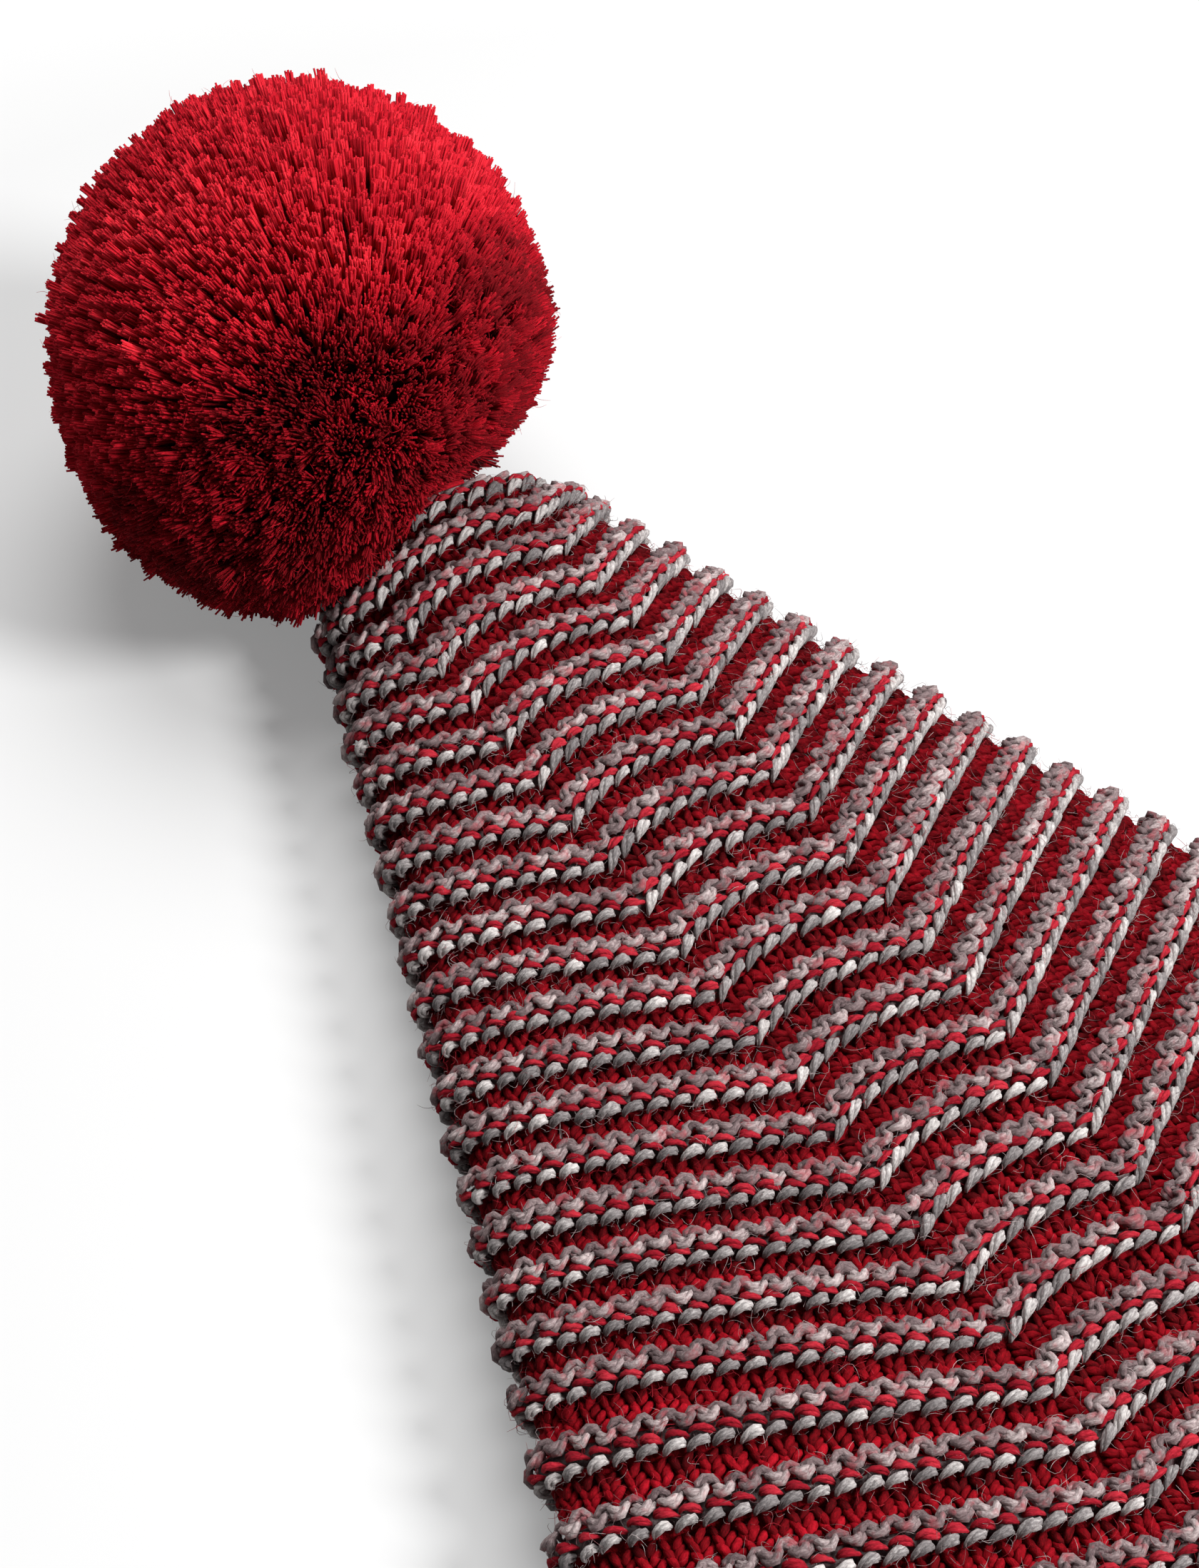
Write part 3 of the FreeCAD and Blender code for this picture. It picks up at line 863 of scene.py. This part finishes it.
FIRST_COURSE = FIRST_ROW - 0.45
SPLIT_COURSE = next(row for row in range(FIRST_ROW, LAST_ROW + 1) if zone_of(row) == "lower") - 0.3
ground_upper = ground_piece("upper", FIRST_COURSE, SPLIT_COURSE, True)
ground_lower = ground_piece("lower", SPLIT_COURSE, BRIM_COURSE, False)
declare_sheet(ground_upper, FIRST_COURSE, SPLIT_COURSE)
declare_sheet(ground_lower, SPLIT_COURSE, BRIM_COURSE)


# ---------------- cast-on edge and seam

EDGE_LOOP = Stitch(
    "edge",
    [
        [(-1.3, 1.5, -0.9), (-1.0, 0.3, -0.4), (-0.4, -0.9, -1.1), (0.0, -1.4, -2.7)]
        + [(0.4, -0.9, -4.3), (1.0, 0.3, -5.0), (1.3, 1.5, -4.6)]
    ],
    [0.6, 0.95, 1.1, 1.15, 1.1, 0.95, 0.6],
    tones=(0.1, 0.9),
    sides=6,
    ply=2,
    twist=0.5,
)
SEAM_BAR = [(-2.6, 0.5, -4.2), (-1.4, 0.2, -5.4), (0.0, 0.0, -5.9), (1.4, -0.2, -5.4), (2.6, -0.5, -4.2)]
SEAM_RADII = [0.5, 0.8, 0.9, 0.8, 0.5]
SEAM_SIDES = 6
SEAM_STEP = 0.17           # between the bars, in courses


def cast_on_edge():
    """Loops over the brim's edge, from the outer face to the inner one."""
    made = Course(BRIM_COURSE)
    s = np.arange(0.5, made.total, STITCH / 2)
    tones = RNG.uniform(*EDGE_LOOP.tones, len(s))
    blocks = list(strands(made, s, EDGE_LOOP, EDGE_LOOP.profiles[0], tones))
    return cap_piece(mesh_from("brim_edge_loops", blocks), RED_PAINTED_SHADED, "red_knit", "lower")


def seam_inside(zone, first, last):
    """Bars of yarn across the seam, inside the cap."""
    blocks = []
    for course in np.arange(first, last, SEAM_STEP):
        point, tangent, tipward, normal = (field[0] for field in Course(course).at(np.array([0.0])))
        line = np.array([point + tangent * u + tipward * v + normal * h for u, v, h in SEAM_BAR])
        normals = np.tile(normal, (1, len(SEAM_BAR), 1))
        bar = sweep(line[None], np.array([SEAM_RADII]), normals, SEAM_SIDES)
        blocks.append((bar, RNG.uniform(0.1, 0.9, 1)))
    return cap_piece(mesh_from(f"seam_inside_{zone}", blocks), RED_PAINTED_SHADED, "red_knit", zone)


brim_edge = cast_on_edge()
seam_upper = seam_inside("upper", FIRST_COURSE + 1.5, SPLIT_COURSE)
seam_lower = seam_inside("lower", SPLIT_COURSE, BRIM_COURSE - 0.2)


# ---------------- pom pom

near_low, near_high = node_box("pom_pile_near_half")
far_low, far_high = node_box("pom_pile_far_half")
POM_LOW = np.minimum(near_low, far_low)
POM_HIGH = np.maximum(near_high, far_high)
POM_CENTRE = (POM_LOW + POM_HIGH) / 2
POM_RADIUS = (POM_HIGH[2] - POM_LOW[2]) / 2
PILE_DEPTH = 11.0
TUFTS = 5600
BLADES = 13                # strands in a tuft
BLADE_SIDES = 3
PILE_PIECES = 5
PILE_LOWEST = 0.9          # tips that would go lower are cut at this height
COMB_SHIFT = np.array([1.5, -15.5, -10.0])     # the strands spread from a place near the cap's tip
TOWARD_CAP = unit(np.array([0.3, -0.82, -0.45]))
DENT = 0.3                 # how far the cap's tip presses the pile in, as a share of its radius
DENT_REACH = 28.0          # degrees
TOWARD_BULGE = unit(np.array([-0.75, -0.5, -0.43]))
LOWER_BULGE = 2.0
SQUEEZE_AXIS = np.array([0.845, -0.534, 0.0])
SQUEEZE = 0.95             # the ball is a little narrower along that axis
SQUEEZE_SHIFT = -1.8
PARTING = np.array([0.105, -0.832, -0.5425])   # the half on this side has looser ends, and its tufts are painted darker there as painted shade
PARTING_BLEND = 0.3
GOLDEN_TURN = math.pi * (1 + 5**0.5)
WAVES_IN_AN_OCTAVE = 6


def inside_cap(points, margin):
    """Whether points lie in the cap's rounded end, grown by a margin."""
    x, y, z = points[..., 0], points[..., 1], points[..., 2]
    a, b = half_width(y) + margin, half_height(y) + margin
    return (y < NOSE_END_Y + margin) & ((x / a) ** 2 + ((z - middle_height(y)) / b) ** 2 < 1)


def sphere_points(count):
    k = np.arange(count) + 0.5
    polar = np.arccos(1 - 2 * k / count)
    turn = GOLDEN_TURN * k
    return np.stack([np.cos(turn) * np.sin(polar), np.sin(turn) * np.sin(polar), np.cos(polar)], axis=1)


def waves(points, scale, seed, octaves=3):
    """A smooth pseudo-random field, the same each run."""
    rng = np.random.default_rng(seed)
    value = np.zeros(points.shape[:-1])
    for octave in range(octaves):
        for _ in range(WAVES_IN_AN_OCTAVE):
            direction = unit(rng.normal(size=3))
            phase = points @ direction * scale * 2**octave * rng.uniform(0.7, 1.4)
            value += np.sin(phase + rng.uniform(0, 6.28)) / 2**octave
    return value / WAVES_IN_AN_OCTAVE


def pile_radius(direction):
    """How far the pile reaches in a direction: a lumpy ball, pressed in by the cap's tip."""
    apart = np.degrees(np.arccos(np.clip(direction @ TOWARD_CAP, -1, 1)))
    lumps = 1 + 0.012 * waves(direction, 9.0, 21) + 0.014 * waves(direction, 4.0, 22, 1)
    bulge = LOWER_BULGE * np.clip(direction @ TOWARD_BULGE, 0, 1) ** 3
    return (POM_RADIUS * lumps - 0.6 + bulge) * (1 - DENT * np.exp(-((apart / DENT_REACH) ** 2)))


def squeezed(points):
    along = (points - POM_CENTRE) @ SQUEEZE_AXIS
    return points + SQUEEZE_AXIS * (along * (SQUEEZE - 1) + SQUEEZE_SHIFT)[:, None]


def combed_tufts():
    """Each tuft's root, tip, share of the fuzzier half that is painted darker as painted shade, and tone."""
    directions = sphere_points(TUFTS)
    directions = unit(directions + RNG.normal(0, 0.007, directions.shape))
    push = np.stack([waves(directions, 15.0, 11 + k) for k in range(3)], axis=1)
    directions = unit(directions + 0.022 * push)
    reach = pile_radius(directions) + RNG.normal(0, 0.6, TUFTS)
    long_ones = RNG.uniform(0, 1, TUFTS) < 0.03
    reach[long_ones] += RNG.uniform(0.5, 2.5, long_ones.sum())
    tips = squeezed(POM_CENTRE + directions * reach[:, None])
    fuzzy_and_shaded = np.clip((directions @ PARTING + 0.04) / PARTING_BLEND, 0, 1)
    untidy = RNG.normal(0, 1.2, tips.shape) * (1 + 3.2 * fuzzy_and_shaded)[:, None]
    comb = unit(tips - (POM_CENTRE + COMB_SHIFT) + (5.0 + 3.0 * fuzzy_and_shaded)[:, None] * push + untidy)
    roots = tips - comb * PILE_DEPTH
    keep = ~inside_cap(tips, 3.0) & ~inside_cap(roots, 0.5)
    drop = np.maximum(roots[:, 2] - tips[:, 2], 1e-3)
    share = np.where(tips[:, 2] < PILE_LOWEST, (roots[:, 2] - PILE_LOWEST) / drop, 1.0)
    tips = roots + (tips - roots) * np.clip(share, 0.05, 1)[:, None]
    roots, tips, fuzzy_and_shaded = roots[keep], tips[keep], fuzzy_and_shaded[keep]
    # tufts on the fuzzier half, which faces down towards the cap's tip, are painted darker: painted shade
    tones = 0.56 + 0.26 * waves(roots, 0.25, 31) + jitter(len(roots), 0.13) - 0.62 * fuzzy_and_shaded
    return roots, tips, fuzzy_and_shaded, np.clip(tones, -0.4, 1)


def blade_block(blade, roots, tips, fuzzy_and_shaded, tuft_tones):
    """One strand of every tuft."""
    count = len(roots)
    axis = unit(tips - roots)
    helper = np.where(np.abs(axis[:, 2:]) < 0.8, [[0.0, 0.0, 1.0]], [[1.0, 0.0, 0.0]])
    side = unit(np.cross(axis, helper))
    up = np.cross(axis, side)
    angle = 2.4 * blade + RNG.uniform(-0.4, 0.4, count)
    spread = math.sqrt((blade + 0.5) / BLADES) * RNG.uniform(0.75, 1.0, count)
    out = side * np.cos(angle)[:, None] + up * np.sin(angle)[:, None]
    length = np.linalg.norm(tips - roots, axis=1)
    start = roots + out * (0.35 * spread)[:, None]
    middle = roots + axis * (0.62 * length)[:, None] + out * (0.62 * spread)[:, None]
    end = tips + axis * RNG.uniform(-0.55, 0.1, count)[:, None]
    end += out * (spread * (0.85 + 0.5 * fuzzy_and_shaded))[:, None]
    end += RNG.normal(0, 0.12, tips.shape) * (1 + 1.5 * fuzzy_and_shaded)[:, None]
    radii = np.stack([np.full(count, 0.24), np.full(count, 0.26), RNG.uniform(0.15, 0.23, count)], axis=1)
    tones = np.clip(tuft_tones + jitter(count, 0.1), -0.4, 1)
    normals = np.repeat(out[:, None, :], 3, axis=1)
    return sweep(np.stack([start, middle, end], axis=1), radii, normals, BLADE_SIDES), tones


def pile_pieces(roots, tips, fuzzy_and_shaded, tuft_tones):
    """The pile, shared out to its pieces by the places of the roots."""
    owner = np.argsort(np.argsort(roots[:, 1])) * PILE_PIECES // len(roots)
    blades = [blade_block(blade, roots, tips, fuzzy_and_shaded, tuft_tones) for blade in range(BLADES)]
    pieces = []
    for piece in range(PILE_PIECES):
        blocks = [(verts[owner == piece], tones[owner == piece]) for verts, tones in blades]
        pieces.append(pom_piece(mesh_from(f"pom_pile_{piece + 1}", blocks), PILE_RED))
    return pieces


CORE_AROUND = 72
CORE_RINGS = 40
CORE_POLE = 0.02           # radians left open at each pole
CORE_DEPTH = 7.0           # below the pile's surface


def pom_core():
    """The dense middle that the strands stand on, in a dark red that is painted shade between them."""
    turn = np.arange(CORE_AROUND) * 2 * math.pi / CORE_AROUND
    rings = []
    for polar in np.linspace(CORE_POLE, math.pi - CORE_POLE, CORE_RINGS):
        level = np.full(CORE_AROUND, np.cos(polar))
        direction = np.stack([np.sin(polar) * np.cos(turn), np.sin(polar) * np.sin(turn), level], axis=1)
        reach = pile_radius(direction) - CORE_DEPTH + 0.8 * waves(direction, 20.0, 41)
        rings.append(squeezed(POM_CENTRE + direction * reach[:, None]))
    return pom_piece(grid_mesh("pom_core", rings), TIE_RED_AND_CORE_SHADE)


tuft_roots, tuft_tips, tuft_fuzzy_and_shaded, tuft_tones = combed_tufts()
pile = pile_pieces(tuft_roots, tuft_tips, tuft_fuzzy_and_shaded, tuft_tones)
pom_core()


# ---------------- loose fibres

HAIR_SIDES = 3
HAIR_RADIUS = 0.04
HAIR_TAPER = np.array([1, 1, 0.95, 0.85, 0.7, 0.4])
HAIR_LOWEST = 0.05
CAP_HAIRS_FOR_MM = 0.3     # loose fibres for each mm of a course, times one of the two numbers below
ON_RIDGES, IN_VALLEYS = 4.0, 1.2
RIDGE_WIDTH = 0.3          # in courses
RIDGE_HEIGHT = 1.6
POM_HAIRS = 5000


def hairs(starts, headings, lengths, curl):
    """Curved thin fibres that taper to their ends."""
    count, points = len(starts), len(HAIR_TAPER)
    share = np.linspace(0, 1, points)[None, :, None]
    bend = RNG.normal(0, 1, (count, 3))
    bend -= (bend * headings).sum(1, keepdims=True) * headings
    bend = bend * (curl * lengths)[:, None]
    straight = headings[:, None, :] * (share * lengths[:, None, None])
    lines = starts[:, None, :] + straight + bend[:, None, :] * (np.sin(share * 3.4) * 0.55)
    radii = np.full((count, points), HAIR_RADIUS) * HAIR_TAPER[None, :]
    across = unit(np.cross(headings, unit(RNG.normal(0, 1, (count, 3)))))
    verts = sweep(lines, radii, np.repeat(across[:, None, :], points, axis=1), HAIR_SIDES)
    verts[..., 2] = np.maximum(verts[..., 2], HAIR_LOWEST)
    return verts


def cap_hairs(course):
    """Loose fibres over one course, and whether they are on a ridge."""
    from_ridge = abs(course - round(course)) / RIDGE_WIDTH
    made = Course(course)
    count = int(made.total * CAP_HAIRS_FOR_MM * (ON_RIDGES if from_ridge < 1 else IN_VALLEYS))
    point, tangent, tipward, normal = made.at(RNG.uniform(0, made.total, count))
    starts = point + normal * RNG.uniform(-0.3, 1.0, (count, 1))
    starts = starts + normal * (RIDGE_HEIGHT * max(0.0, 1 - from_ridge))
    starts = starts + tipward * RNG.normal(0, 0.6, (count, 1))
    headings = unit(
        tangent * RNG.normal(0, 1, (count, 1))
        + tipward * RNG.normal(0, 0.8, (count, 1))
        + normal * RNG.uniform(0.0, 0.35, (count, 1))
    )
    return hairs(starts, headings, RNG.uniform(0.8, 3.6, count), 0.45), from_ridge < 1


cap_fibres = {}            # (colour, zone): its blocks
for course in np.arange(FIRST_ROW, LAST_ROW + 0.9, 0.25):
    verts, on_ridge = cap_hairs(course)
    colour = "grey" if on_ridge and RNG.uniform() < 0.75 else "red"
    key = (colour, zone_of(math.floor(course + 0.26)))
    cap_fibres.setdefault(key, []).append((verts, RNG.uniform(0.1, 1.0, len(verts))))

for (colour, zone), blocks in cap_fibres.items():
    verts = np.concatenate([block for block, _ in blocks])
    tones = np.concatenate([tone for _, tone in blocks])
    pieces = math.ceil(tube_tris(verts) / MOST_TRIS)
    for number, chosen in enumerate(np.array_split(np.arange(len(verts)), pieces), start=1):
        obj = mesh_from(f"loose_fibres_{colour}_{zone}_{number}", [(verts[chosen], tones[chosen])])
        cap_piece(obj, *(GREY_PART if colour == "grey" else WEARS["dash"]), zone)


def pom_hairs():
    """Loose fibres among the tips of the pile."""
    chosen = RNG.integers(0, len(tuft_tips), POM_HAIRS)
    axis = unit(tuft_tips - tuft_roots)[chosen]
    starts = tuft_tips[chosen] - axis * RNG.uniform(1.2, 3.4, (POM_HAIRS, 1))
    starts = starts + RNG.normal(0, 0.6, (POM_HAIRS, 3))
    headings = unit(0.5 * axis + RNG.normal(0, 0.6, (POM_HAIRS, 3)))
    verts = hairs(starts, headings, RNG.uniform(1.2, 3.2, POM_HAIRS), 0.5)
    return pom_piece(mesh_from("loose_fibres_pom", [(verts, RNG.uniform(0.3, 1.0, POM_HAIRS))]), PILE_RED)


pom_hairs()


# ---------------- CAD nodes: what stays and what is replaced

LAST_LOWER_WELT = 15
welts = [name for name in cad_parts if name.startswith("welt_")]
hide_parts("knit_shell_middle", "knit_shell_tip")
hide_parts("knit_shell_lower")
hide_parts("brim_cast_on_edge")
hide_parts("back_seam_lower", "back_seam_middle")
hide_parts("back_seam_tip")
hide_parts(*[name for name in welts if int(name[-2:]) <= LAST_LOWER_WELT])
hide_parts(*[name for name in welts if int(name[-2:]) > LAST_LOWER_WELT])
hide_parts("pom_pile_near_half", "pom_pile_far_half")

for name in (
    "crown_gather_yarn",
    "inner_anchor_knot",
    "inner_tie_tails",
    "pom_center_tie",
    "pom_tie_knot",
    "pom_tie_tails",
):
    node = bpy.data.objects[name]
    if node.material_slots:
        for slot in node.material_slots:
            slot.material = TIE_RED_AND_CORE_SHADE
    else:
        node.data.materials.append(TIE_RED_AND_CORE_SHADE)


# ---------------- table, light and camera

HALF_TABLE = 2.5           # this and the sizes below are in metres
TABLE_GREY = 0.3           # the light that the table gives back to the object
TABLE_SEEN = 0.42          # and how pale the camera sees it
GLOW_FROM, GLOW_TO = 0.24, 0.7         # away from the object the table turns into the white backdrop
GLOW_NEAR, GLOW_FAR = 0.235, 1.0
SKY = 0.17


def table_material():
    material, tree, shader, link = new_material("white_table")
    seen = add(tree, "LightPath")
    greys = {"A": (*[TABLE_GREY] * 3, 1), "B": (*[TABLE_SEEN] * 3, 1)}
    paint = add(tree, "Mix", greys, data_type="RGBA")
    link(seen.outputs["Is Camera Ray"], paint.inputs["Factor"])
    link(paint.outputs["Result"], shader.inputs["Base Color"])
    place = add(tree, "TexCoord")
    away = add(tree, "VectorMath", operation="LENGTH")
    link(place.outputs["Object"], away.inputs[0])
    steps = {"From Min": GLOW_FROM, "From Max": GLOW_TO, "To Min": GLOW_NEAR, "To Max": GLOW_FAR}
    level = add(tree, "MapRange", steps)
    link(away.outputs["Value"], level.inputs["Value"])
    glow = add(tree, "Math", operation="MULTIPLY")
    link(seen.outputs["Is Camera Ray"], glow.inputs[0])
    link(level.outputs["Result"], glow.inputs[1])
    link(glow.outputs["Value"], shader.inputs["Emission Strength"])
    set_inputs(shader, {"Roughness": 0.6, "Emission Color": (1, 1, 1, 1)})
    return material


def table():
    mesh = bpy.data.meshes.new("table_top")
    corners = [(x * HALF_TABLE, y * HALF_TABLE, 0) for x, y in ((-1, -1), (1, -1), (1, 1), (-1, 1))]
    mesh.from_pydata(corners, [], [(0, 1, 2, 3)])
    mesh.materials.append(table_material())
    in_scene("table_top", mesh)


def studio():
    """Pale light from all around, with a white backdrop where the camera looks past the table."""
    world = bpy.data.worlds.new("studio")
    bpy.context.scene.world = world
    world.use_nodes = True
    tree = world.node_tree
    sky = tree.nodes["Background"]
    set_inputs(sky, {"Color": (1, 1, 1, 1), "Strength": SKY})
    backdrop = add(tree, "Background", {"Color": (1, 1, 1, 1)})
    either = add(tree, "MixShader")
    tree.links.new(add(tree, "LightPath").outputs["Is Camera Ray"], either.inputs[0])
    tree.links.new(sky.outputs["Background"], either.inputs[1])
    tree.links.new(backdrop.outputs["Background"], either.inputs[2])
    tree.links.new(either.outputs["Shader"], tree.nodes["World Output"].inputs["Surface"])


def area_light(name, place, target, size, power):
    data = bpy.data.lights.new(name, "AREA")
    data.shape = "DISK"
    data.size = size
    data.energy = power
    lamp = in_scene(name, data)
    lamp.location = place
    lamp.rotation_euler = (Vector(target) - Vector(place)).to_track_quat("-Z", "Y").to_euler()


CAMERA_PLACE = Vector((-0.2045, -0.2798, 0.4579))
CAMERA_RIGHT = Vector((0.845, -0.534, 0)).normalized()
CAMERA_LOOK = Vector((0.343, 0.543, -0.766)).normalized()
CAMERA_UP = CAMERA_RIGHT.cross(CAMERA_LOOK)


def camera():
    data = bpy.data.cameras.new("camera")
    data.sensor_width = 36
    data.lens = 81.9
    data.clip_start = 0.01
    obj = in_scene("camera", data)
    rotation = Matrix((CAMERA_RIGHT, CAMERA_UP, -CAMERA_LOOK)).transposed()
    obj.matrix_world = Matrix.Translation(CAMERA_PLACE) @ rotation.to_4x4()
    bpy.context.scene.camera = obj


table()
studio()
area_light("window", (0.56, -0.78, 0.92), (0, 0.03, 0.02), 0.4, 24)
area_light("overhead", (0.25, 0.35, 1.15), (0, 0.05, 0.02), 0.9, 14)
camera()
bpy.context.scene.view_settings.view_transform = "Standard"

bpy.context.view_layer.update()
